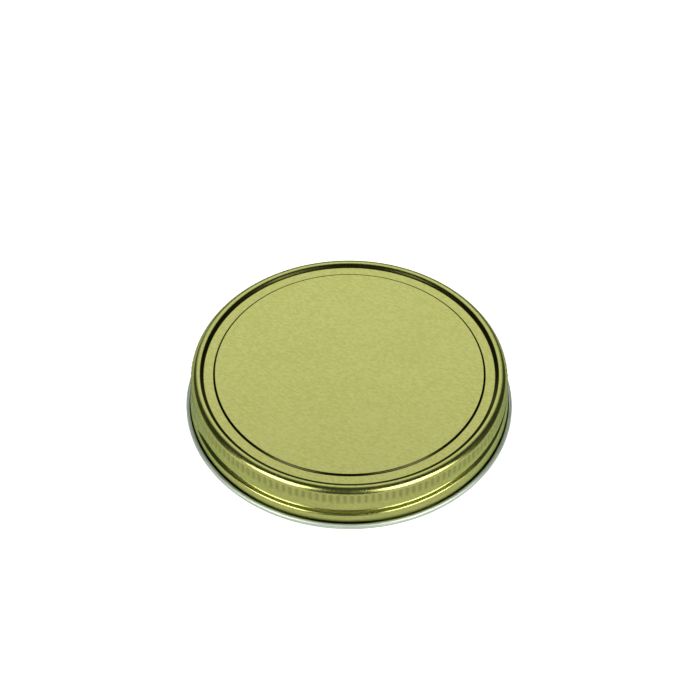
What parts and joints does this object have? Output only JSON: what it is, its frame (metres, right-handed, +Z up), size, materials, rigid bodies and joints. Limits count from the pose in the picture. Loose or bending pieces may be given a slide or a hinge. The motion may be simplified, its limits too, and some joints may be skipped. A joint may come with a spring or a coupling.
{
  "type": "mason jar screw lid",
  "caption": "One-piece gold tinplate screw lid for a regular-mouth mason jar, with a stacking bead, knurled skirt, rolled thread, outward curl and a flowed-in sealing ring.",
  "frame": {"origin": "centre of the circle that the curled edge rests on, at the lid's lowest level", "axes": "+Z up out of the raised centre panel, which is the lid's axis; +X and +Y in the resting plane"},
  "size_m": [0.0728, 0.0728, 0.0108],
  "materials": {
    "gold_tinplate": "glossy transparent gold lacquer over rolled tinplate, fine rolling grain; the inner face, seen on the curl and underneath, is a pale grey enamel",
    "sealing_compound": "satin off-white plastisol with a soft meniscus at both edges"
  },
  "bodies": {
    "root": {"lid_shell": "gold_tinplate", "sealing_ring": "sealing_compound"}
  },
  "joints": []
}
